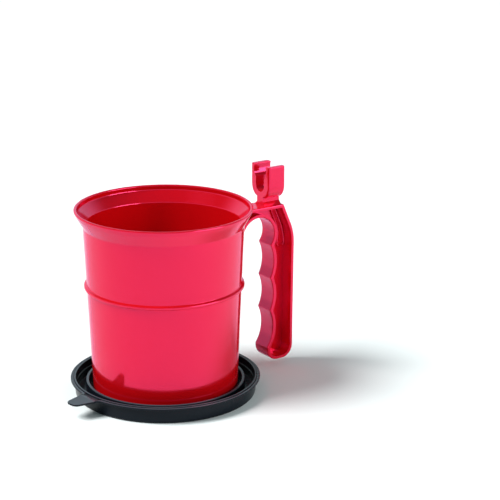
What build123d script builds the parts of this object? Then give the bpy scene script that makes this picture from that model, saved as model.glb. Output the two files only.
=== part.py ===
from build123d import *
import os
from math import atan2, cos, degrees, sqrt

# Paint cup of one litre with a moulded grip and a brush clip, standing in its own lid.
# Millimetres. The origin is the centre of the lid's underside, +Z is up and +X points to the grip.

# Lid, turned over so that its outer face lies on the floor
lid_height = 12.4
panel_thickness = 1.6
panel_corner = 1.8
skirt_wall = 1.0
skirt_mouth_wall = 1.4
skirt_draft = 0.8
flange_reach = 2.2
flange_thickness = 1.3
rib_height = 0.4
rib_width = 1.3
snap_bead_height = 1.6
snap_bead_reach = 0.6
rim_clearance = 0.1
plug_depth = 8.6
plug_wall = 2.2
plug_lead = 0.7
plug_clearance = 0.25

# Pull tab on the lid's flange, bending where it leaves its root
tab_turn_degrees = 187.5
tab_root_reach = 3.1
tab_length = 16.4
tab_root_half_width = 8.3
tab_tip_half_width = 4.9
tab_tip_round = 4.2
tab_root_fillet = 3.5

# Cup
cup_height = 133.5
crease_radius = 56.1
taper_in = 5.05
foot_ring_width = 2.4
foot_recess = 2.6
foot_round = 1.2
base_thickness = 2.2
base_fillet = 5.0
wall = 2.0
bead_drop = 55.5
bead_height = 3.2
bead_crest_height = 1.8
bead_reach = 1.9
bead_round = 0.9
flare_out = 6.6
flare_depth = 12.0
lip_height = 4.5
lip_lean = 1.0
rim_width = 2.7
rim_round = 0.9
inner_lip_height = 3.6
inner_crease_lift = 0.7

# Grip, an upright hung from an arch, with a deep recess on one side and a shallow one on the other
grip_stand = 51.1
grip_lean = 1.3
grip_width = 16.0
grip_bottom = 6.0
flange_wall = 2.4
web_wall = 2.6
back_recess = 2.6
lid_gap = 0.4
root_sink = 5.0
shoulder_inset = 10.0
shoulder_drop = 22.4
shoulder_round = 36.0
top_corner_round = 1.2
heel_round = 9.5
toe_round = 9.0
finger_depth = 20.9
finger_count = 3
toe_share = 0.13
groove_depth = 3.0
cusp_round = 1.5
arch_leg = 5.9
arch_cover = 7.2
arch_drop_share = 0.92
arch_root_drop = 10.5
arch_root_round = 5.0
toe_height = 10.6
grip_edge_round = 0.9
pad_rise = 0.8
pad_top_radius = 1.3
pad_waist_radius = 1.9
pad_tip_radius = 3.0
pad_gap = 0.6

# Brush clip, a deep channel on a neck above the shoulder of the grip
clip_length = 14.4
neck_half_width = 3.5
neck_height = 5.4
neck_foot_flare = 2.5
clip_floor = 4.4
slot_half_width = 5.0
slot_depth = 16.0
seat_radius = 7.45
jaw_half_width = 11.0
jaw_rise = 3.5
jaw_foot_rise = 9.7
jaw_end_round = 1.6
jaw_tip_round = 0.6

# Heights and radii that follow from the sizes above
foot_radius = crease_radius - taper_in
rim_radius = crease_radius + flare_out
foot_z = panel_thickness
rim_z = foot_z + cup_height
crease_z = rim_z - flare_depth
bead_z = rim_z - bead_drop
flange_top = lid_height - rib_height
flange_bottom = flange_top - flange_thickness
skirt_inner_low = rim_radius + rim_clearance
skirt_inner_high = skirt_inner_low + skirt_draft
skirt_outer_low = skirt_inner_low + skirt_wall
skirt_outer_high = skirt_inner_high + skirt_mouth_wall
flange_radius = skirt_outer_high + flange_reach
tab_hinge_radius = flange_radius + tab_root_reach
grip_top = rim_z - (lid_height - panel_thickness) - lid_gap
grip_reach = crease_radius + grip_stand
shoulder_x = grip_reach - shoulder_inset
shoulder_z = grip_top - shoulder_drop
web_face_y = grip_width / 2 - back_recess - web_wall
clip_x = shoulder_x - top_corner_round - clip_length / 2
neck_top = grip_top + neck_height
slot_bottom = neck_top + clip_floor
seat_z = slot_bottom + slot_depth


def body_radius(z):
    """Outer radius of the tapered wall at a height."""
    share = (z - foot_z) / (crease_z - foot_z)
    return foot_radius + (crease_radius - foot_radius) * share


def inner_flare_radius(depth):
    """Inner radius of the flare at a depth under the rim."""
    high = rim_radius - rim_width
    low = crease_radius - wall
    run = flare_depth - inner_crease_lift - inner_lip_height
    return high - (high - low) * (depth - inner_lip_height) / run


def revolved(corners):
    """Solid of revolution from corners given as radius, height and rounding."""
    points = [(x, z) for x, z, _ in corners]
    radii = [rounding for _, _, rounding in corners]
    with BuildPart() as solid:
        with BuildSketch(Plane.XZ):
            with BuildLine():
                FilletPolyline(*points, radius=radii, close=True)
            make_face()
        revolve(axis=Axis.Z)
    return solid.part


def round_corner(sketch, x, y, radius):
    """Round the corner of a sketch that lies nearest a point of its plane."""
    fillet(sketch.vertices().sort_by_distance(Vector(x, y))[0], radius)


# Cup

def cup_outer_corners():
    """Outer line of the cup from the foot over the bead to the rim, with the roundings."""
    bead_low = bead_z - bead_height / 2
    bead_high = bead_z + bead_height / 2
    crest_radius = body_radius(bead_z) + bead_reach
    return [
        (foot_radius, foot_z, foot_round),
        (body_radius(bead_low), bead_low, 0),
        (crest_radius, bead_z - bead_crest_height / 2, bead_round),
        (crest_radius, bead_z + bead_crest_height / 2, bead_round),
        (body_radius(bead_high), bead_high, 0),
        (crease_radius, crease_z, 0),
        (rim_radius - lip_lean, rim_z - lip_height, lip_lean),
        (rim_radius, rim_z, rim_round),
    ]


def cup_envelope():
    """The cup's outer form filled solid, which cuts what is moulded onto it."""
    return revolved([(0, foot_z, 0), *cup_outer_corners(), (0, rim_z, 0)])


def make_cup_body():
    floor_z = foot_z + foot_recess + base_thickness
    return revolved([
        (foot_radius - foot_ring_width, foot_z, 0),
        *cup_outer_corners(),
        (rim_radius - rim_width, rim_z, rim_round),
        (rim_radius - rim_width, rim_z - inner_lip_height, lip_lean),
        (crease_radius - wall, crease_z + inner_crease_lift, 0),
        (body_radius(floor_z) - wall, floor_z, base_fillet),
        (0, floor_z, 0),
        (0, foot_z + foot_recess, 0),
        (foot_radius - foot_ring_width, foot_z + foot_recess, 0),
    ])


# Grip

def back_x(z):
    """Outer edge of the grip at a height, which leans towards the cup on its way down."""
    return grip_reach - grip_lean * (grip_top - z) / (grip_top - grip_bottom)


def finger_x(z):
    """Line of the cusps between the finger grooves, parallel to the outer edge."""
    return back_x(z) - finger_depth


def grip_outline():
    """Side view of the grip: top, shoulder, round heel, finger grooves and arch."""
    leg_x = crease_radius + arch_leg
    arch_top = grip_top - arch_cover
    first_cusp_z = arch_top - arch_drop_share * (finger_x(arch_top) - leg_x)
    arch_width = finger_x(first_cusp_z) - leg_x
    arch_drop = arch_top - first_cusp_z
    arch_radius = arch_width + arch_drop - sqrt(2 * arch_width * arch_drop)
    arch_x = leg_x + arch_radius
    arch_z = arch_top - arch_radius
    arch_start = degrees(atan2(first_cusp_z - arch_z, finger_x(first_cusp_z) - arch_x))
    toe_z = grip_bottom + toe_height
    finger_pitch = (first_cusp_z - toe_z) / (finger_count + toe_share)
    cusps = [first_cusp_z - finger_pitch * i for i in range(finger_count)]
    last_groove_z = cusps[-1] - finger_pitch / 2
    groove_radius = (finger_pitch ** 2 / 4 + groove_depth ** 2) / (2 * groove_depth)
    groove_x = finger_x(last_groove_z) + groove_depth
    toe_x = groove_x - groove_radius + sqrt(groove_radius ** 2 - (last_groove_z - toe_z) ** 2)
    root_x = crease_radius - root_sink
    root_z = arch_z - arch_root_drop
    with BuildSketch(Plane.XZ) as outline:
        with BuildLine():
            Polyline(
                (root_x, root_z),
                (root_x, grip_top),
                (shoulder_x, grip_top),
                (back_x(shoulder_z), shoulder_z),
                (back_x(grip_bottom), grip_bottom),
                (toe_x, grip_bottom),
                (toe_x, toe_z),
            )
            ThreePointArc((toe_x, toe_z), (groove_x, last_groove_z), (finger_x(cusps[-1]), cusps[-1]))
            for low, high in zip(cusps[:0:-1], cusps[-2::-1]):
                middle = (low + high) / 2
                groove = (finger_x(middle) + groove_depth, middle)
                ThreePointArc((finger_x(low), low), groove, (finger_x(high), high))
            CenterArc((arch_x, arch_z), arch_radius, arch_start, 90 - arch_start)
            CenterArc((arch_x, arch_z), arch_radius, 90, 90)
            Line((leg_x, arch_z), (root_x, root_z))
        make_face()
        round_corner(outline, shoulder_x, grip_top, top_corner_round)
        round_corner(outline, back_x(shoulder_z), shoulder_z, shoulder_round)
        round_corner(outline, back_x(grip_bottom), grip_bottom, heel_round)
        round_corner(outline, toe_x, grip_bottom, toe_round)
        round_corner(outline, toe_x, toe_z, cusp_round)
        for z in cusps:
            round_corner(outline, finger_x(z), z, cusp_round)
        round_corner(outline, leg_x, arch_z, arch_root_round)
    return outline.sketch


def make_web_pad():
    """Raised drop-shaped pad on the web, which follows the outer flange down from the shoulder."""
    edge = flange_wall + pad_gap
    lean = atan2(shoulder_inset, shoulder_drop)
    top = (shoulder_x - edge / cos(lean), grip_top - edge - pad_top_radius)
    waist = (grip_reach - edge - 2 * pad_waist_radius, shoulder_z + pad_waist_radius)
    tip = (grip_reach - edge - pad_tip_radius, shoulder_z - 3 * pad_tip_radius)
    drops = [(*top, pad_top_radius), (*waist, pad_waist_radius), (*tip, pad_tip_radius)]
    with BuildPart() as pad:
        with BuildSketch(Plane.XZ.offset(-web_face_y)):
            for first, second in zip(drops, drops[1:]):
                with BuildSketch(mode=Mode.PRIVATE) as half:
                    for x, z, radius in (first, second):
                        with Locations((x, z)):
                            Circle(radius)
                    make_hull()
                add(half.sketch)
        extrude(amount=pad_rise)
    return pad.part


def make_grip(envelope):
    outline = grip_outline()
    side = extrude(outline, grip_width / 2, both=True)
    rims = side.edges().filter_by_position(Axis.Y, -grip_width / 2, -grip_width / 2)
    rims += side.edges().filter_by_position(Axis.Y, grip_width / 2, grip_width / 2)
    side = fillet(rims, grip_edge_round)
    inside = offset(outline, -flange_wall, kind=Kind.INTERSECTION)
    deep_recess = Pos(0, web_face_y, 0) * extrude(inside, grip_width)
    shallow_recess = Pos(0, grip_width / 2, 0) * extrude(inside, back_recess)
    return side - deep_recess - shallow_recess + make_web_pad() - envelope


# Brush clip

def make_jaw(side):
    """One jaw, from its bend beside the neck to its tip. side is 1 for left and -1 for right."""
    tip_z = seat_z + jaw_rise
    tip_y = sqrt(seat_radius ** 2 - jaw_rise ** 2)
    shoulder_z = seat_z - sqrt(seat_radius ** 2 - slot_half_width ** 2)
    slot_z = slot_bottom + slot_half_width
    seam_z = slot_z - sqrt(slot_half_width ** 2 - neck_half_width ** 2)
    foot_width = jaw_half_width - neck_half_width
    outer_z = neck_top + jaw_foot_rise
    seam_angle = degrees(atan2(seam_z - slot_z, neck_half_width))
    with BuildSketch(Plane.YZ) as section:
        with BuildLine():
            Line((neck_half_width, seam_z), (neck_half_width, neck_top))
            EllipticalCenterArc((neck_half_width, outer_z), foot_width, jaw_foot_rise, 270, arc_size=90)
            Polyline((jaw_half_width, outer_z), (jaw_half_width, tip_z), (tip_y, tip_z))
            ThreePointArc((tip_y, tip_z), (seat_radius, seat_z), (slot_half_width, shoulder_z))
            Line((slot_half_width, shoulder_z), (slot_half_width, slot_z))
            CenterArc((0, slot_z), slot_half_width, seam_angle, -seam_angle)
        make_face()
    jaw = extrude(section.sketch, clip_length / 2, both=True)
    outer = jaw.edges().filter_by(Axis.Z).filter_by_position(Axis.Y, jaw_half_width, jaw_half_width)
    jaw = fillet(outer, jaw_end_round)
    jaw = fillet(jaw.faces().sort_by(Axis.Z)[-1].edges(), jaw_tip_round)
    if side < 0:
        jaw = mirror(jaw, about=Plane.XZ)
    return Pos(clip_x, 0, 0) * jaw


def make_clip_neck():
    """Neck that stands on the grip's shoulder and carries the jaws, with the slot's bottom on top."""
    slot_z = slot_bottom + slot_half_width
    seam_z = slot_z - sqrt(slot_half_width ** 2 - neck_half_width ** 2)
    with BuildSketch(Plane.YZ) as section:
        with BuildLine():
            Polyline(
                (-neck_half_width, seam_z),
                (-neck_half_width, grip_top + neck_foot_flare),
                (-neck_half_width - neck_foot_flare, grip_top),
                (neck_half_width + neck_foot_flare, grip_top),
                (neck_half_width, grip_top + neck_foot_flare),
                (neck_half_width, seam_z),
            )
            ThreePointArc((neck_half_width, seam_z), (0, slot_bottom), (-neck_half_width, seam_z))
        make_face()
    return Pos(clip_x, 0, 0) * extrude(section.sketch, clip_length / 2, both=True)


# Lid

def make_lid_flange():
    """Flat flange round the skirt, widened on one side as the root of the pull tab."""
    with BuildPart() as flange:
        with BuildSketch(Plane.XY.offset(flange_bottom)) as outline:
            Circle(flange_radius)
            with Locations((tab_hinge_radius / 2, 0)):
                Rectangle(tab_hinge_radius, 2 * tab_root_half_width)
            corners = outline.vertices().filter_by_position(Axis.X, skirt_outer_low, flange_radius)
            fillet(corners, tab_root_fillet)
            Circle(skirt_outer_high - skirt_wall, mode=Mode.SUBTRACT)
        extrude(amount=flange_thickness)
    return Rot(0, 0, tab_turn_degrees) * flange.part


def skirt_inner_radius(z):
    """Inner radius of the skirt, which leans outwards from the panel to the mouth of the lid."""
    share = (z - panel_thickness) / (lid_height - panel_thickness)
    return skirt_inner_low + (skirt_inner_high - skirt_inner_low) * share


def make_lid_shell():
    snap_low = panel_thickness + lip_height
    snap_high = snap_low + snap_bead_height
    snap_middle = (snap_low + snap_high) / 2
    shell = revolved([
        (0, 0, 0),
        (skirt_outer_low, 0, panel_corner),
        (skirt_outer_high, flange_bottom, 0),
        (skirt_outer_high, flange_top, 0),
        (skirt_inner_high + rib_width, lid_height, 0),
        (skirt_inner_high, lid_height, 0),
        (skirt_inner_radius(snap_high), snap_high, 0),
        (skirt_inner_radius(snap_middle) - snap_bead_reach, snap_middle, 0),
        (skirt_inner_radius(snap_low), snap_low, 0),
        (skirt_inner_low, panel_thickness, 0),
        (0, panel_thickness, 0),
    ])
    return shell + make_lid_flange()


def make_plug_ring():
    """Ring inside the lid, which closes the mouth of the cup against the inner flare."""
    outer = inner_flare_radius(plug_depth - plug_lead) - plug_clearance
    top_z = panel_thickness + plug_depth
    return revolved([
        (outer - plug_wall, panel_thickness, 0),
        (outer, panel_thickness, 0),
        (outer, top_z - plug_lead, 0),
        (outer - plug_lead, top_z, 0),
        (outer - plug_wall, top_z, 0),
    ])


def make_pull_tab():
    points = [
        (tab_hinge_radius, -tab_root_half_width),
        (tab_hinge_radius, tab_root_half_width),
        (tab_hinge_radius + tab_length, tab_tip_half_width),
        (tab_hinge_radius + tab_length, -tab_tip_half_width),
    ]
    with BuildPart() as tab:
        with BuildSketch(Plane.XY.offset(flange_bottom)):
            with BuildLine():
                FilletPolyline(*points, radius=[0, 0, tab_tip_round, tab_tip_round], close=True)
            make_face()
        extrude(amount=flange_thickness)
    return Rot(0, 0, tab_turn_degrees) * tab.part


os.makedirs("parts", exist_ok=True)
sub_parts = {
    "cup_body": make_cup_body(),
    "grip": make_grip(cup_envelope()),
    "clip_neck": make_clip_neck(),
    "clip_jaw_left": make_jaw(1),
    "clip_jaw_right": make_jaw(-1),
    "lid_shell": make_lid_shell(),
    "plug_ring": make_plug_ring(),
    "pull_tab": make_pull_tab(),
}
for node, shape in sub_parts.items():
    export_step(shape, f"parts/{node}.step")
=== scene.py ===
from math import atan2, cos, hypot, pi, radians, sin, tan
import bpy
from mathutils import Euler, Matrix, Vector


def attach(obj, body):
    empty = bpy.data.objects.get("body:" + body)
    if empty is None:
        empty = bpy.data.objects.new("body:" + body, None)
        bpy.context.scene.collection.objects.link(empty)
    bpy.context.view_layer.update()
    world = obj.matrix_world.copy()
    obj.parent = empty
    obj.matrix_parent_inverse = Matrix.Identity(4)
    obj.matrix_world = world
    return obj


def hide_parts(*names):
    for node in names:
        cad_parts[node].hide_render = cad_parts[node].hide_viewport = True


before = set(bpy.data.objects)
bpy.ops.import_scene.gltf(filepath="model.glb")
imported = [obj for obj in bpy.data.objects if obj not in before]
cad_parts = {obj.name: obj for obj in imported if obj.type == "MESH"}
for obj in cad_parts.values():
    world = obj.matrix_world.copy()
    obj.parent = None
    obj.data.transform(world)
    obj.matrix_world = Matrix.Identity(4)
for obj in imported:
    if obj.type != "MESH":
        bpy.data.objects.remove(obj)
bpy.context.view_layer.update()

MM = 0.001

# Camera in metres and degrees, floor in metres
CAMERA_AT = (-0.6310, -1.0059, 0.4665)
CAMERA_DIP = 16.986
CAMERA_ROLL = -0.117
CAMERA_HEADING = -34.954
CAMERA_TURN = (radians(90 - CAMERA_DIP), radians(CAMERA_ROLL), radians(CAMERA_HEADING))
LENS = 128.2
SENSOR = 36.0
FLOOR_REACH = 8.0
FLOOR_TONE = (0.80, 0.85, 0.845, 1)
FLOOR_ROUGHNESS = 0.8
FLOOR_SHINE = 0.2

# Light: a wide soft sun from the left and a softbox at the right, both aimed at the cup
LIGHT_TARGET = (0, 0, 0.06)
SUN_AT = (-1.25, 0.42, 1.70)
SUN_ANGLE = radians(30)
SUN_POWER = 4.4
SOFTBOX_AT = (0.9, -1.8, 0.55)
SOFTBOX_SIZE = 1.5
SOFTBOX_POWER = 35.0

# Room: faint and cool as light, white in gloss low down and dark in gloss above
ROOM_LIGHT = 0.25
ROOM_TONE = (0.74, 0.96, 1.0, 1)
ROOM_GLOSS = 1.0
CEILING_GLOSS = 0.12
GLOSS_LOW = radians(20)
GLOSS_HIGH = radians(38)
SHOWN_BACKGROUND = 1.0
SHOWN_TONE = (1, 1, 1, 1)

# Finishes: where the noise gives rubbed patches, and where a painted sheen for light from above
# lies by slope and by patch
RUBBED_FROM = 0.4
RUBBED_FULL = 0.75
SHEEN_SLOPE_FROM = 0.6
SHEEN_SLOPE_FULL = 0.95
SHEEN_PATCH_FROM = 0.3
SHEEN_PATCH_FULL = 0.7
FAINTEST_SHEEN = 0.75

# Cup, in millimetres: heights above the floor or down from the rim
FOOT_Z = 1.6
CUP_HEIGHT = 133.5
FOOT_RADIUS = 51.05
FOOT_RING = 2.4
FOOT_RECESS = 2.6
BASE = 2.2
WALL = 2.0
CREASE_RADIUS = 56.1
CREASE_DROP = 12.0
BEAD_DROP = 55.5
BEAD_HEIGHT = 3.2
BEAD_CREST = 1.8
BEAD_REACH = 1.9
RIM_RADIUS = 62.7
RIM_WIDTH = 2.7
LIP_HEIGHT = 3.6
LIP_LEAN = 1.7
INNER_LIP = 3.6
INNER_CREASE_LIFT = 0.7

# Roundings of the cup
RECESS_ROUND = 0.6
FOOT_RING_ROUND = 0.5
FOOT_ROUND = 1.2
BEAD_SIDE_ROUND = 0.35
BEAD_ROUND = 0.9
CREASE_ROUND = 3.0
FLARE_ROUND = 4.0
RIM_ROUND = 0.9
INNER_FLARE_ROUND = 1.6
INNER_FLOOR_ROUND = 5.0

# Lid, in millimetres
LID_HEIGHT = 12.4
PANEL = 1.6
SKIRT_INNER = 62.8
SKIRT_DRAFT = 0.8
SKIRT_WALL = 1.0
SKIRT_MOUTH = 1.4
FLANGE_REACH = 2.2
FLANGE = 1.3
RIB_HEIGHT = 0.4
RIB_WIDTH = 1.3
SNAP_DEPTH = 4.5
SNAP_HEIGHT = 1.6
SNAP_REACH = 0.6
PLUG_OUTER = 56.455
PLUG_DEPTH = 8.6
PLUG_WALL = 2.2
PLUG_SUNK = 0.4
EDGE = 0.3

# Roundings of the lid
LID_FOOT_ROUND = 1.8
SNAP_SIDE_ROUND = 0.3
SNAP_ROUND = 0.5
PANEL_ROUND = 0.4
PLUG_OUTER_ROUND = 0.75
PLUG_INNER_ROUND = 0.5

# Pull tab, in millimetres
TAB_TURN = radians(187.5)
TAB_ROOT_REACH = 3.1
TAB_LENGTH = 14.2
TAB_ROOT_HALF = 8.3
TAB_TIP_HALF = 4.9
TAB_TIP_ROUND = 4.2
TAB_ROOT_FILLET = 3.5

# Pad on the grip's web, in millimetres: circles of x, z and radius that its outline goes round
PAD_CIRCLES = ((93.9, 119.6, 1.3), (100.4, 103.4, 1.9), (101.2, 92.5, 3.0))
PAD_TOP_Y = 1.9
PAD_LINE = 0.75

# Fineness: facets round a piece, and steps along its curves and straight runs
FACETS_ROUND = 224
WELD_REACH = 0.002 * MM
ROUNDING_STEPS = 8
GUARD = 0.35
NO_GUARD = 100.0
EDGE_STEPS = 5
EDGE_GUARD = 2.2
EDGE_FADE = 3
FLANGE_STEPS = 200
FILLET_STEPS = 10
HINGE_STEPS = 6
TAB_SIDE_STEPS = 8
TAB_TIP_STEPS = 10
PAD_TIP_STEPS = 8
PAD_LINE_STEPS = 96
PAD_LINE_FACETS = 10

RIM_Z = FOOT_Z + CUP_HEIGHT
CREASE_Z = RIM_Z - CREASE_DROP
BEAD_Z = RIM_Z - BEAD_DROP
FLANGE_TOP = LID_HEIGHT - RIB_HEIGHT
FLANGE_BOTTOM = FLANGE_TOP - FLANGE
FLANGE_RADIUS = SKIRT_INNER + SKIRT_DRAFT + SKIRT_MOUTH + FLANGE_REACH
HINGE_X = FLANGE_RADIUS + TAB_ROOT_REACH


# Camera, floor and light

def make_camera():
    data = bpy.data.cameras.new("Camera")
    data.lens = LENS
    data.sensor_width = SENSOR
    camera = bpy.data.objects.new("Camera", data)
    camera.location = CAMERA_AT
    camera.rotation_euler = Euler(CAMERA_TURN, "XYZ")
    bpy.context.collection.objects.link(camera)
    bpy.context.scene.camera = camera


def make_floor():
    mesh = bpy.data.meshes.new("Floor")
    reach = FLOOR_REACH
    corners = [(-reach, -reach, 0), (reach, -reach, 0), (reach, reach, 0), (-reach, reach, 0)]
    mesh.from_pydata(corners, [], [(0, 1, 2, 3)])
    floor = bpy.data.objects.new("Floor", mesh)
    bpy.context.collection.objects.link(floor)
    paper = bpy.data.materials.new("Pale_paper")
    paper.use_nodes = True
    surface = paper.node_tree.nodes["Principled BSDF"]
    surface.inputs["Base Color"].default_value = FLOOR_TONE
    surface.inputs["Roughness"].default_value = FLOOR_ROUGHNESS
    surface.inputs["Specular IOR Level"].default_value = FLOOR_SHINE
    mesh.materials.append(paper)


def make_lamp(name, kind, at, size, power):
    """A sun, whose size is the angle it fills, or a square softbox, whose size is its side."""
    data = bpy.data.lights.new(name, kind)
    if kind == "SUN":
        data.angle = size
    else:
        data.size = size
    data.energy = power
    lamp = bpy.data.objects.new(name, data)
    lamp.location = at
    aim = Vector(LIGHT_TARGET) - Vector(at)
    lamp.rotation_euler = aim.to_track_quat("-Z", "Y").to_euler()
    bpy.context.collection.objects.link(lamp)
    return lamp


def make_room():
    """White room: even in the light it gives, bright low down and dark high up in gloss."""
    world = bpy.data.worlds.new("Room")
    bpy.context.scene.world = world
    world.use_nodes = True
    nodes, links = world.node_tree.nodes, world.node_tree.links
    background = nodes["Background"]
    rays = nodes.new("ShaderNodeLightPath")
    way, parts = nodes.new("ShaderNodeTexCoord"), nodes.new("ShaderNodeSeparateXYZ")
    height = nodes.new("ShaderNodeMapRange")
    height.interpolation_type = "SMOOTHSTEP"
    height.inputs["From Min"].default_value = sin(GLOSS_LOW)
    height.inputs["From Max"].default_value = sin(GLOSS_HIGH)
    height.inputs["To Min"].default_value = ROOM_GLOSS
    height.inputs["To Max"].default_value = CEILING_GLOSS
    in_gloss, shown = nodes.new("ShaderNodeMapRange"), nodes.new("ShaderNodeMapRange")
    in_gloss.inputs["To Min"].default_value = ROOM_LIGHT
    shown.inputs["To Max"].default_value = SHOWN_BACKGROUND
    tone = nodes.new("ShaderNodeMixRGB")
    tone.inputs["Color1"].default_value = ROOM_TONE
    tone.inputs["Color2"].default_value = SHOWN_TONE
    links.new(way.outputs["Generated"], parts.inputs["Vector"])
    links.new(parts.outputs["Z"], height.inputs["Value"])
    links.new(height.outputs["Result"], in_gloss.inputs["To Max"])
    links.new(rays.outputs["Is Glossy Ray"], in_gloss.inputs["Value"])
    links.new(in_gloss.outputs["Result"], shown.inputs["To Min"])
    links.new(rays.outputs["Is Camera Ray"], shown.inputs["Value"])
    links.new(shown.outputs["Result"], background.inputs["Strength"])
    links.new(rays.outputs["Is Camera Ray"], tone.inputs["Fac"])
    links.new(tone.outputs["Color"], background.inputs["Color"])


# Finishes

def add_socket(tree, name, kind, way="INPUT", value=None):
    made = tree.interface.new_socket(name, in_out=way, socket_type=kind)
    if value is not None:
        made.default_value = value


def mould_finish_group():
    """Height of the slow waves and fine specks that a moulded plastic face has."""
    tree = bpy.data.node_groups.new("Mould_finish", "ShaderNodeTree")
    add_socket(tree, "Wave Size", "NodeSocketFloat", value=30.0)
    add_socket(tree, "Speck Size", "NodeSocketFloat", value=900.0)
    add_socket(tree, "Speck Share", "NodeSocketFloat", value=0.1)
    add_socket(tree, "Height", "NodeSocketFloat", "OUTPUT")
    nodes, links = tree.nodes, tree.links
    given, result = nodes.new("NodeGroupInput"), nodes.new("NodeGroupOutput")
    place = nodes.new("ShaderNodeTexCoord")
    waves, specks = nodes.new("ShaderNodeTexNoise"), nodes.new("ShaderNodeTexNoise")
    waves.inputs["Detail"].default_value = 0.0
    specks.inputs["Detail"].default_value = 2.0
    mix = nodes.new("ShaderNodeMix")
    links.new(place.outputs["Object"], waves.inputs["Vector"])
    links.new(place.outputs["Object"], specks.inputs["Vector"])
    links.new(given.outputs["Wave Size"], waves.inputs["Scale"])
    links.new(given.outputs["Speck Size"], specks.inputs["Scale"])
    links.new(given.outputs["Speck Share"], mix.inputs["Factor"])
    links.new(waves.outputs["Fac"], mix.inputs["A"])
    links.new(specks.outputs["Fac"], mix.inputs["B"])
    links.new(mix.outputs["Result"], result.inputs["Height"])
    return tree


def handling_wear_group():
    """Roughness of a plastic face, with faint duller patches where hands and cloths rub it."""
    tree = bpy.data.node_groups.new("Handling_wear", "ShaderNodeTree")
    add_socket(tree, "Smooth", "NodeSocketFloat", value=0.1)
    add_socket(tree, "Rubbed", "NodeSocketFloat", value=0.2)
    add_socket(tree, "Patch Size", "NodeSocketFloat", value=25.0)
    add_socket(tree, "Roughness", "NodeSocketFloat", "OUTPUT")
    nodes, links = tree.nodes, tree.links
    given, result = nodes.new("NodeGroupInput"), nodes.new("NodeGroupOutput")
    place, patches = nodes.new("ShaderNodeTexCoord"), nodes.new("ShaderNodeTexNoise")
    patches.inputs["Detail"].default_value = 4.0
    patches.inputs["Roughness"].default_value = 0.6
    spread = nodes.new("ShaderNodeMapRange")
    spread.inputs["From Min"].default_value = RUBBED_FROM
    spread.inputs["From Max"].default_value = RUBBED_FULL
    links.new(place.outputs["Object"], patches.inputs["Vector"])
    links.new(given.outputs["Patch Size"], patches.inputs["Scale"])
    links.new(patches.outputs["Fac"], spread.inputs["Value"])
    links.new(given.outputs["Smooth"], spread.inputs["To Min"])
    links.new(given.outputs["Rubbed"], spread.inputs["To Max"])
    links.new(spread.outputs["Result"], result.inputs["Roughness"])
    return tree


def pigment_drift_group():
    """Colour that drifts very slightly over the surface, as pigment in plastic does."""
    tree = bpy.data.node_groups.new("Pigment_drift", "ShaderNodeTree")
    add_socket(tree, "Main Colour", "NodeSocketColor", value=(0.5, 0.5, 0.5, 1))
    add_socket(tree, "Deeper Colour", "NodeSocketColor", value=(0.4, 0.4, 0.4, 1))
    add_socket(tree, "Drift Size", "NodeSocketFloat", value=12.0)
    add_socket(tree, "Colour", "NodeSocketColor", "OUTPUT")
    nodes, links = tree.nodes, tree.links
    given, result = nodes.new("NodeGroupInput"), nodes.new("NodeGroupOutput")
    place, drift = nodes.new("ShaderNodeTexCoord"), nodes.new("ShaderNodeTexNoise")
    drift.inputs["Detail"].default_value = 1.0
    mix = nodes.new("ShaderNodeMixRGB")
    links.new(place.outputs["Object"], drift.inputs["Vector"])
    links.new(given.outputs["Drift Size"], drift.inputs["Scale"])
    links.new(drift.outputs["Fac"], mix.inputs["Fac"])
    links.new(given.outputs["Main Colour"], mix.inputs["Color1"])
    links.new(given.outputs["Deeper Colour"], mix.inputs["Color2"])
    links.new(mix.outputs["Color"], result.inputs["Colour"])
    return tree


def painted_top_sheen_group():
    """Painted sheen: colour that turns paler in soft patches where a face looks up, standing in
    for light falling from above.
    """
    tree = bpy.data.node_groups.new("Painted_top_sheen", "ShaderNodeTree")
    add_socket(tree, "Own Colour", "NodeSocketColor", value=(0.01, 0.01, 0.01, 1))
    add_socket(tree, "Sheen Colour", "NodeSocketColor", value=(0.1, 0.1, 0.1, 1))
    add_socket(tree, "Sheen Share", "NodeSocketFloat", value=0.5)
    add_socket(tree, "Patch Size", "NodeSocketFloat", value=60.0)
    add_socket(tree, "Colour", "NodeSocketColor", "OUTPUT")
    nodes, links = tree.nodes, tree.links
    given, result = nodes.new("NodeGroupInput"), nodes.new("NodeGroupOutput")
    place, parts = nodes.new("ShaderNodeTexCoord"), nodes.new("ShaderNodeSeparateXYZ")
    facing, patches = nodes.new("ShaderNodeMapRange"), nodes.new("ShaderNodeTexNoise")
    facing.inputs["From Min"].default_value = SHEEN_SLOPE_FROM
    facing.inputs["From Max"].default_value = SHEEN_SLOPE_FULL
    patches.inputs["Detail"].default_value = 3.0
    sheen_strength = nodes.new("ShaderNodeMapRange")
    sheen_strength.inputs["From Min"].default_value = SHEEN_PATCH_FROM
    sheen_strength.inputs["From Max"].default_value = SHEEN_PATCH_FULL
    sheen_strength.inputs["To Min"].default_value = FAINTEST_SHEEN
    amount, share = nodes.new("ShaderNodeMath"), nodes.new("ShaderNodeMath")
    amount.operation = share.operation = "MULTIPLY"
    mix = nodes.new("ShaderNodeMixRGB")
    # Faces that look up are painted paler, a painted sheen standing in for light from above
    links.new(place.outputs["Normal"], parts.inputs["Vector"])
    links.new(parts.outputs["Z"], facing.inputs["Value"])
    links.new(place.outputs["Object"], patches.inputs["Vector"])
    links.new(given.outputs["Patch Size"], patches.inputs["Scale"])
    links.new(patches.outputs["Fac"], sheen_strength.inputs["Value"])
    links.new(facing.outputs["Result"], amount.inputs[0])
    links.new(sheen_strength.outputs["Result"], amount.inputs[1])
    links.new(amount.outputs["Value"], share.inputs[0])
    links.new(given.outputs["Sheen Share"], share.inputs[1])
    links.new(share.outputs["Value"], mix.inputs["Fac"])
    links.new(given.outputs["Own Colour"], mix.inputs["Color1"])
    links.new(given.outputs["Sheen Colour"], mix.inputs["Color2"])
    links.new(mix.outputs["Color"], result.inputs["Colour"])
    return tree


PIGMENT = pigment_drift_group()
TOP_SHEEN = painted_top_sheen_group()
WEAR = handling_wear_group()
FINISH = mould_finish_group()


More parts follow.
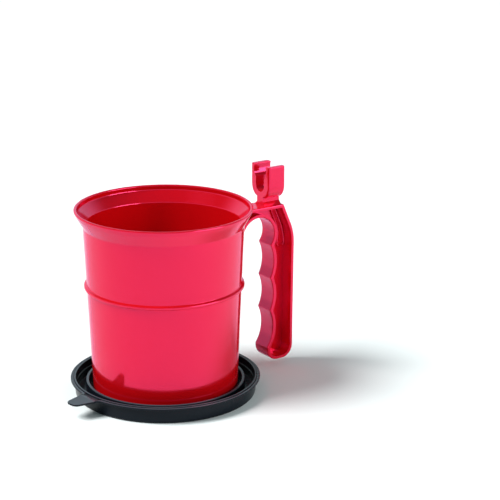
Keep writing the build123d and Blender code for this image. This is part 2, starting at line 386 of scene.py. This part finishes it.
def plastic(name, colour, deeper, sheen_colour, smooth, rubbed, wave, relief, shine):
    """A moulded plastic: pigment, a painted sheen on upward faces, handling wear and mould
    finish, with its own shine.
    """
    made = bpy.data.materials.new(name)
    made.use_nodes = True
    nodes, links = made.node_tree.nodes, made.node_tree.links
    surface = nodes["Principled BSDF"]
    pigment, sheen, wear, finish = (nodes.new("ShaderNodeGroup") for _ in range(4))
    pigment.node_tree, sheen.node_tree = PIGMENT, TOP_SHEEN
    wear.node_tree, finish.node_tree = WEAR, FINISH
    pigment.inputs["Main Colour"].default_value = (*colour, 1)
    pigment.inputs["Deeper Colour"].default_value = (*deeper, 1)
    sheen.inputs["Sheen Colour"].default_value = (*sheen_colour, 1)
    sheen.inputs["Sheen Share"].default_value = 1.0
    wear.inputs["Smooth"].default_value = smooth
    wear.inputs["Rubbed"].default_value = rubbed
    finish.inputs["Wave Size"].default_value = wave
    bump = nodes.new("ShaderNodeBump")
    bump.inputs["Strength"].default_value = 1.0
    bump.inputs["Distance"].default_value = relief * MM
    # Base colour is painted paler on upward faces, a painted sheen for light from above
    links.new(pigment.outputs["Colour"], sheen.inputs["Own Colour"])
    links.new(sheen.outputs["Colour"], surface.inputs["Base Color"])
    links.new(wear.outputs["Roughness"], surface.inputs["Roughness"])
    links.new(finish.outputs["Height"], bump.inputs["Height"])
    links.new(bump.outputs["Normal"], surface.inputs["Normal"])
    for socket, value in shine.items():
        surface.inputs[socket].default_value = value
    return made


# Round pieces and raised lines

def rounded_line(corners, steps=ROUNDING_STEPS, guard=GUARD):
    """Points along corners of radius, height and rounding. Guard points near the ends of long
    straight runs keep them looking flat beside the roundings."""
    line = []
    for i, (x, z, rounding) in enumerate(corners):
        if rounding == 0 or i in (0, len(corners) - 1):
            line.append((x, z))
            continue
        corner = Vector((x, z))
        to_before = (Vector(corners[i - 1][:2]) - corner).normalized()
        to_after = (Vector(corners[i + 1][:2]) - corner).normalized()
        half = to_before.angle(to_after) / 2
        reach = rounding / tan(half)
        centre = corner + (to_before + to_after).normalized() * (rounding / sin(half))
        start = corner + to_before * reach - centre
        end = corner + to_after * reach - centre
        turn = atan2(start.x * end.y - start.y * end.x, start.dot(end))
        for k in range(steps + 1):
            part = turn * k / steps
            line.append((centre.x + start.x * cos(part) - start.y * sin(part),
                         centre.y + start.x * sin(part) + start.y * cos(part)))
    guarded = [line[0]]
    for (x0, z0), (x1, z1) in zip(line, line[1:]):
        length = hypot(x1 - x0, z1 - z0)
        if length > 3 * guard:
            share = guard / length
            guarded.append((x0 + (x1 - x0) * share, z0 + (z1 - z0) * share))
            guarded.append((x1 - (x1 - x0) * share, z1 - (z1 - z0) * share))
        guarded.append((x1, z1))
    return guarded


def turning_tree():
    """Geometry Nodes that turn a profile line of points round the vertical axis."""
    tree = bpy.data.node_groups.new("Turned_moulding", "GeometryNodeTree")
    add_socket(tree, "Geometry", "NodeSocketGeometry")
    add_socket(tree, "Facets Round", "NodeSocketInt", value=FACETS_ROUND)
    add_socket(tree, "Finish", "NodeSocketMaterial")
    add_socket(tree, "Geometry", "NodeSocketGeometry", "OUTPUT")
    nodes, links = tree.nodes, tree.links

    def node(kind, **settings):
        made = nodes.new(kind)
        for setting, value in settings.items():
            setattr(made, setting, value)
        return made

    def calc(operation, first, second=None):
        made = node("ShaderNodeMath", operation=operation)
        for slot, source in zip(made.inputs, (first, second)):
            if isinstance(source, (int, float)):
                slot.default_value = source
            elif source is not None:
                links.new(source, slot)
        return made.outputs[0]

    given, result = node("NodeGroupInput"), node("NodeGroupOutput")
    count = node("GeometryNodeAttributeDomainSize", component="MESH")
    links.new(given.outputs["Geometry"], count.inputs["Geometry"])
    points = count.outputs["Point Count"]
    # A flat sheet has the right faces: one row of points for each step round
    sheet = node("GeometryNodeMeshGrid")
    links.new(calc("ADD", given.outputs["Facets Round"], 1), sheet.inputs["Vertices X"])
    links.new(points, sheet.inputs["Vertices Y"])
    index = node("GeometryNodeInputIndex").outputs["Index"]
    around = calc("FLOOR", calc("DIVIDE", calc("ADD", index, 0.5), points))
    across = calc("ROUND", calc("SUBTRACT", index, calc("MULTIPLY", around, points)))
    # Each row takes the profile's points, turned to its own angle
    place = node("GeometryNodeInputPosition")
    sample = node("GeometryNodeSampleIndex", data_type="FLOAT_VECTOR", domain="POINT")
    links.new(given.outputs["Geometry"], sample.inputs["Geometry"])
    links.new(place.outputs["Position"], sample.inputs["Value"])
    links.new(across, sample.inputs["Index"])
    split = node("ShaderNodeSeparateXYZ")
    links.new(sample.outputs["Value"], split.inputs["Vector"])
    angle = calc("DIVIDE", calc("MULTIPLY", around, 2 * pi), given.outputs["Facets Round"])
    join = node("ShaderNodeCombineXYZ")
    links.new(calc("MULTIPLY", split.outputs["X"], calc("COSINE", angle)), join.inputs["X"])
    links.new(calc("MULTIPLY", split.outputs["X"], calc("SINE", angle)), join.inputs["Y"])
    links.new(split.outputs["Z"], join.inputs["Z"])
    shape = node("GeometryNodeSetPosition")
    links.new(sheet.outputs["Mesh"], shape.inputs["Geometry"])
    links.new(join.outputs["Vector"], shape.inputs["Position"])
    # The first and last rows, and the points on the axis, become one
    merge = node("GeometryNodeMergeByDistance")
    merge.inputs["Distance"].default_value = WELD_REACH
    links.new(shape.outputs["Geometry"], merge.inputs["Geometry"])
    smooth = node("GeometryNodeSetShadeSmooth")
    links.new(merge.outputs["Geometry"], smooth.inputs["Geometry"])
    real = node("GeometryNodeRealizeInstances")
    links.new(smooth.outputs["Geometry"], real.inputs["Geometry"])
    finish = node("GeometryNodeSetMaterial")
    links.new(real.outputs["Geometry"], finish.inputs["Geometry"])
    links.new(given.outputs["Finish"], finish.inputs["Material"])
    links.new(finish.outputs["Geometry"], result.inputs["Geometry"])
    return tree


def raised_line_tree():
    """Geometry Nodes that lay a thin round bead along a closed line of points."""
    tree = bpy.data.node_groups.new("Raised_line", "GeometryNodeTree")
    add_socket(tree, "Geometry", "NodeSocketGeometry")
    add_socket(tree, "Line Half Width", "NodeSocketFloat", value=PAD_LINE * MM)
    add_socket(tree, "Points Along", "NodeSocketInt", value=PAD_LINE_STEPS)
    add_socket(tree, "Finish", "NodeSocketMaterial")
    add_socket(tree, "Geometry", "NodeSocketGeometry", "OUTPUT")
    nodes, links = tree.nodes, tree.links
    given, result = nodes.new("NodeGroupInput"), nodes.new("NodeGroupOutput")
    path, kind = nodes.new("GeometryNodeMeshToCurve"), nodes.new("GeometryNodeCurveSplineType")
    kind.spline_type = "CATMULL_ROM"
    even = nodes.new("GeometryNodeResampleCurve")
    section = nodes.new("GeometryNodeCurvePrimitiveCircle")
    section.inputs["Resolution"].default_value = PAD_LINE_FACETS
    sweep, smooth = nodes.new("GeometryNodeCurveToMesh"), nodes.new("GeometryNodeSetShadeSmooth")
    real = nodes.new("GeometryNodeRealizeInstances")
    finish = nodes.new("GeometryNodeSetMaterial")
    links.new(given.outputs["Geometry"], path.inputs["Mesh"])
    links.new(path.outputs["Curve"], kind.inputs["Curve"])
    links.new(kind.outputs["Curve"], even.inputs["Curve"])
    links.new(given.outputs["Points Along"], even.inputs["Count"])
    links.new(given.outputs["Line Half Width"], section.inputs["Radius"])
    links.new(even.outputs["Curve"], sweep.inputs["Curve"])
    links.new(section.outputs["Curve"], sweep.inputs["Profile Curve"])
    links.new(sweep.outputs["Mesh"], smooth.inputs["Geometry"])
    links.new(smooth.outputs["Geometry"], real.inputs["Geometry"])
    links.new(real.outputs["Geometry"], finish.inputs["Geometry"])
    links.new(given.outputs["Finish"], finish.inputs["Material"])
    links.new(finish.outputs["Geometry"], result.inputs["Geometry"])
    return tree


def point_faces_outwards(mesh):
    """Turns the faces of a closed mesh over if they point inwards."""
    volume = 0.0
    for face in mesh.polygons:
        corners = [mesh.vertices[i].co for i in face.vertices]
        for b, c in zip(corners[1:], corners[2:]):
            volume += corners[0].dot(b.cross(c))
    if volume < 0:
        mesh.flip_normals()


def made_along(name, points, closed, tree, sizes):
    """A plain mesh that a Geometry Nodes tree makes from a line of points in millimetres."""
    edges = [(i, i + 1) for i in range(len(points) - 1)]
    if closed:
        edges.append((len(points) - 1, 0))
    line = bpy.data.meshes.new(name + "_line")
    line.from_pydata([(x * MM, y * MM, z * MM) for x, y, z in points], edges, [])
    piece = bpy.data.objects.new(name, line)
    bpy.context.collection.objects.link(piece)
    modifier = piece.modifiers.new("Form", "NODES")
    modifier.node_group = tree
    keys = {item.name: item.identifier for item in tree.interface.items_tree
            if item.in_out == "INPUT"}
    for size, value in sizes.items():
        modifier[keys[size]] = value
    seen = bpy.context.evaluated_depsgraph_get()
    solid = bpy.data.meshes.new_from_object(piece.evaluated_get(seen))
    piece.modifiers.clear()
    piece.data = solid
    solid.name = name
    point_faces_outwards(solid)
    return piece


def turned(name, corners, finish, tree):
    """A round piece from the corners of its profile."""
    line = [(x, 0, z) for x, z in rounded_line(corners)]
    return made_along(name, line, False, tree, {"Facets Round": FACETS_ROUND, "Finish": finish})


def cup_profile():
    """From under the middle of the base, up the outside, over the rim and down the inside."""
    def body(z):
        return FOOT_RADIUS + (CREASE_RADIUS - FOOT_RADIUS) * (z - FOOT_Z) / (CREASE_Z - FOOT_Z)

    recess_z = FOOT_Z + FOOT_RECESS
    floor_z = recess_z + BASE
    bead_low, bead_high = BEAD_Z - BEAD_HEIGHT / 2, BEAD_Z + BEAD_HEIGHT / 2
    crest = body(BEAD_Z) + BEAD_REACH
    inner_top = RIM_RADIUS - RIM_WIDTH
    return [
        (0, recess_z, 0),
        (FOOT_RADIUS - FOOT_RING, recess_z, RECESS_ROUND),
        (FOOT_RADIUS - FOOT_RING, FOOT_Z, FOOT_RING_ROUND),
        (FOOT_RADIUS, FOOT_Z, FOOT_ROUND),
        (body(bead_low), bead_low, BEAD_SIDE_ROUND),
        (crest, BEAD_Z - BEAD_CREST / 2, BEAD_ROUND),
        (crest, BEAD_Z + BEAD_CREST / 2, BEAD_ROUND),
        (body(bead_high), bead_high, BEAD_SIDE_ROUND),
        (CREASE_RADIUS, CREASE_Z, CREASE_ROUND),
        (RIM_RADIUS - LIP_LEAN, RIM_Z - LIP_HEIGHT, FLARE_ROUND),
        (RIM_RADIUS, RIM_Z, RIM_ROUND),
        (inner_top, RIM_Z, RIM_ROUND),
        (inner_top, RIM_Z - INNER_LIP, INNER_FLARE_ROUND),
        (CREASE_RADIUS - WALL, CREASE_Z + INNER_CREASE_LIFT, INNER_FLARE_ROUND),
        (body(floor_z) - WALL, floor_z, INNER_FLOOR_ROUND),
        (0, floor_z, 0),
    ]


def lid_skirt_profile():
    """Panel, skirt, rib and snap bead. The skirt ends inside the flange, which is a plate."""
    outer_low, mouth = SKIRT_INNER + SKIRT_WALL, SKIRT_INNER + SKIRT_DRAFT
    outer_high = mouth + SKIRT_MOUTH

    def inner(z):
        return SKIRT_INNER + SKIRT_DRAFT * (z - PANEL) / (LID_HEIGHT - PANEL)

    snap_low = PANEL + SNAP_DEPTH
    snap_mid, snap_high = snap_low + SNAP_HEIGHT / 2, snap_low + SNAP_HEIGHT
    buried = (FLANGE_BOTTOM + FLANGE_TOP) / 2
    return [
        (0, 0, 0),
        (outer_low, 0, LID_FOOT_ROUND),
        (outer_high, buried, 0),
        (mouth + RIB_WIDTH, buried, 0),
        (mouth + RIB_WIDTH, LID_HEIGHT, EDGE),
        (mouth, LID_HEIGHT, EDGE),
        (inner(snap_high), snap_high, SNAP_SIDE_ROUND),
        (inner(snap_mid) - SNAP_REACH, snap_mid, SNAP_ROUND),
        (inner(snap_low), snap_low, SNAP_SIDE_ROUND),
        (SKIRT_INNER, PANEL, PANEL_ROUND),
        (0, PANEL, 0),
    ]


def plug_profile():
    """Inner ring of the lid, sunk a little into the panel."""
    top = PANEL + PLUG_DEPTH
    inside = PLUG_OUTER - PLUG_WALL
    middle = PLUG_OUTER - PLUG_WALL / 2
    low = PANEL - PLUG_SUNK
    return [
        (middle, low, 0),
        (PLUG_OUTER, low, 0),
        (PLUG_OUTER, top, PLUG_OUTER_ROUND),
        (inside, top, PLUG_INNER_ROUND),
        (inside, low, 0),
        (middle, low, 0),
    ]


# Flange, pull tab and pad

def plate(name, outline, hole, finish, free_edge):
    """Flat plate with rounded edges, from an outline and either a hole of as many points or none.
    free_edge gives the most rounding at each x, so that it fades out where plates meet."""
    count = len(outline)
    quarter = [pi / 2 * k / EDGE_STEPS for k in range(EDGE_STEPS + 1)]
    bends = [(EDGE_GUARD, 0)] + [(1 - sin(t), 1 - cos(t)) for t in quarter]
    edges = [min(EDGE, free_edge(x)) for x, _ in outline]
    normals = []
    for i in range(count):
        (ax, ay), (bx, by) = outline[i - 1], outline[(i + 1) % count]
        along = Vector((bx - ax, by - ay)).normalized()
        normals.append(Vector((along.y, -along.x)))

    def ring(inset, height, drop):
        return [(x - n.x * e * inset, y - n.y * e * inset, height + e * drop)
                for (x, y), e, n in zip(outline, edges, normals)]

    rings = [ring(inset, FLANGE_TOP, -drop) for inset, drop in bends]
    rings += [ring(inset, FLANGE_BOTTOM, drop) for inset, drop in reversed(bends)]
    if hole:
        rings.insert(0, [(x, y, FLANGE_TOP) for x, y in hole])
        rings.append([(x, y, FLANGE_BOTTOM) for x, y in hole])
    faces = []
    total = len(rings)
    for r in range(total if hole else total - 1):
        low, high = r * count, (r + 1) % total * count
        for i in range(count):
            j = (i + 1) % count
            faces.append((low + i, high + i, high + j, low + j))
    if not hole:
        faces.append(tuple(range(count)))
        faces.append(tuple(range(total * count - 1, (total - 1) * count - 1, -1)))
    right, ahead = cos(TAB_TURN), sin(TAB_TURN)
    places = [((x * right - y * ahead) * MM, (x * ahead + y * right) * MM, z * MM)
              for points in rings for x, y, z in points]
    mesh = bpy.data.meshes.new(name)
    mesh.from_pydata(places, [], faces)
    mesh.shade_smooth()
    mesh.materials.append(finish)
    point_faces_outwards(mesh)
    piece = bpy.data.objects.new(name, mesh)
    bpy.context.collection.objects.link(piece)
    return piece


def between(a, b, count):
    """Points that divide a straight run into equal parts, without its ends."""
    return [(a[0] + (b[0] - a[0]) * k / count, a[1] + (b[1] - a[1]) * k / count)
            for k in range(1, count)]


def flange_outline():
    """Round flange with the root of the tab on its +X side."""
    half, fillet = TAB_ROOT_HALF, TAB_ROOT_FILLET
    centre_y = half + fillet
    centre_x = ((FLANGE_RADIUS + fillet) ** 2 - centre_y ** 2) ** 0.5
    meet = atan2(centre_y, centre_x)
    first, last = -pi / 2, atan2(-centre_y, -centre_x)
    bends = [first + (last - first) * k / FILLET_STEPS for k in range(FILLET_STEPS + 1)]
    arc = [(centre_x + fillet * cos(t), centre_y + fillet * sin(t)) for t in bends]
    turns = [meet + 2 * (pi - meet) * k / FLANGE_STEPS for k in range(1, FLANGE_STEPS)]
    far_side = [(FLANGE_RADIUS * cos(t), FLANGE_RADIUS * sin(t)) for t in turns]
    corner, other_corner = (HINGE_X, half), (HINGE_X, -half)
    side = [corner, *between(corner, arc[0], HINGE_STEPS), *arc]
    mirrored = [(x, -y) for x, y in reversed(side)]
    return [*side, *far_side, *mirrored, *between(other_corner, corner, HINGE_STEPS)]


def tab_outline():
    """The tab from its hinge line to its rounded tip."""
    far = HINGE_X + TAB_LENGTH
    corner, other_corner = (HINGE_X, -TAB_ROOT_HALF), (HINGE_X, TAB_ROOT_HALF)
    corners = [(*corner, 0), (far, -TAB_TIP_HALF, TAB_TIP_ROUND), (far, 0, 0)]
    tip = rounded_line(corners, TAB_TIP_STEPS, NO_GUARD)[1:-1]
    side = [corner, *between(corner, tip[0], TAB_SIDE_STEPS), *tip]
    mirrored = [(x, -y) for x, y in reversed(side)]
    return [*side, *mirrored, *between(other_corner, corner, HINGE_STEPS)]


def pad_outline():
    """Outline of the drop-shaped pad on the grip's web: down one side of its circles, round the
    lowest of them and up the other side."""
    drops = [Vector(circle) for circle in PAD_CIRCLES]
    left, right = [], []
    for i, drop in enumerate(drops):
        before, after = drops[max(i - 1, 0)], drops[min(i + 1, len(drops) - 1)]
        along = (after.xy - before.xy).normalized()
        across = Vector((along.y, -along.x)) * drop.z
        left.append(drop.xy - across)
        right.append(drop.xy + across)
    tip = drops[-1].xy
    arm = right[-1] - tip
    turns = [-pi * k / PAD_TIP_STEPS for k in range(1, PAD_TIP_STEPS)]
    round_tip = [tip + Vector((arm.x * cos(t) + arm.y * sin(t), arm.y * cos(t) - arm.x * sin(t)))
                 for t in turns]
    return [(p.x, PAD_TOP_Y, p.y) for p in [*right, *round_tip, *reversed(left)]]


# The scene

def joined(name, pieces):
    """One piece from several, as the moulding is one."""
    with bpy.context.temp_override(active_object=pieces[0], selected_editable_objects=pieces):
        bpy.ops.object.join()
    pieces[0].name = name
    return pieces[0]


def show_for(piece, body, node):
    """The piece moves with the body and stands for the CAD node."""
    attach(piece, body)
    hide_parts(node)


make_camera()
make_floor()
make_room()
sun = make_lamp("Left_light", "SUN", SUN_AT, SUN_ANGLE, SUN_POWER)
sun.visible_glossy = False
make_lamp("Right_softbox", "AREA", SOFTBOX_AT, SOFTBOX_SIZE, SOFTBOX_POWER)
bpy.context.scene.view_settings.view_transform = "Standard"

# The third colour of each plastic is a painted sheen: upward faces painted paler for light from
# above
RED = plastic(
    "Red_plastic", colour=(0.7, 0.003, 0.007), deeper=(0.66, 0.003, 0.006),
    sheen_colour=(0.7, 0.008, 0.014), smooth=0.1, rubbed=0.16, wave=28.0, relief=0.06,
    shine={"Metallic": 0.33, "IOR": 2.0, "Specular Tint": (1.0, 0.27, 0.9, 1)})
BLACK = plastic(
    "Charcoal_plastic", colour=(0.006, 0.0085, 0.013), deeper=(0.004, 0.0065, 0.01),
    sheen_colour=(0.05, 0.062, 0.076), smooth=0.2, rubbed=0.31, wave=40.0, relief=0.05,
    shine={"IOR": 1.5, "Specular IOR Level": 0.1})

turning = turning_tree()
show_for(turned("cup_wall", cup_profile(), RED, turning), "cup", "cup_body")
show_for(turned("lid_plug_ring", plug_profile(), BLACK, turning),
         "lid", "plug_ring")

outline = flange_outline()
hole_radius = SKIRT_INNER + SKIRT_DRAFT + RIB_WIDTH / 2
hole = [(hole_radius * x / hypot(x, y), hole_radius * y / hypot(x, y)) for x, y in outline]
flange = plate("lid_flange", outline, hole, BLACK, lambda x: max(0.0, (HINGE_X - x) / EDGE_FADE))
skirt = turned("lid_saucer", lid_skirt_profile(), BLACK, turning)
show_for(joined("lid_saucer", [skirt, flange]), "lid", "lid_shell")

tab = plate("lid_pull_tab", tab_outline(), None, BLACK,
            lambda x: max(0.0, (x - HINGE_X) / EDGE_FADE))
show_for(tab, "tab", "pull_tab")

pad_rim = made_along(
    "grip_pad_rim", pad_outline(), True, raised_line_tree(),
    {"Line Half Width": PAD_LINE * MM, "Points Along": PAD_LINE_STEPS, "Finish": RED})
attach(pad_rim, "cup")

for node_name in ("grip", "clip_neck", "clip_jaw_left", "clip_jaw_right"):
    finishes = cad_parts[node_name].data.materials
    for i in range(len(finishes)):
        finishes[i] = RED
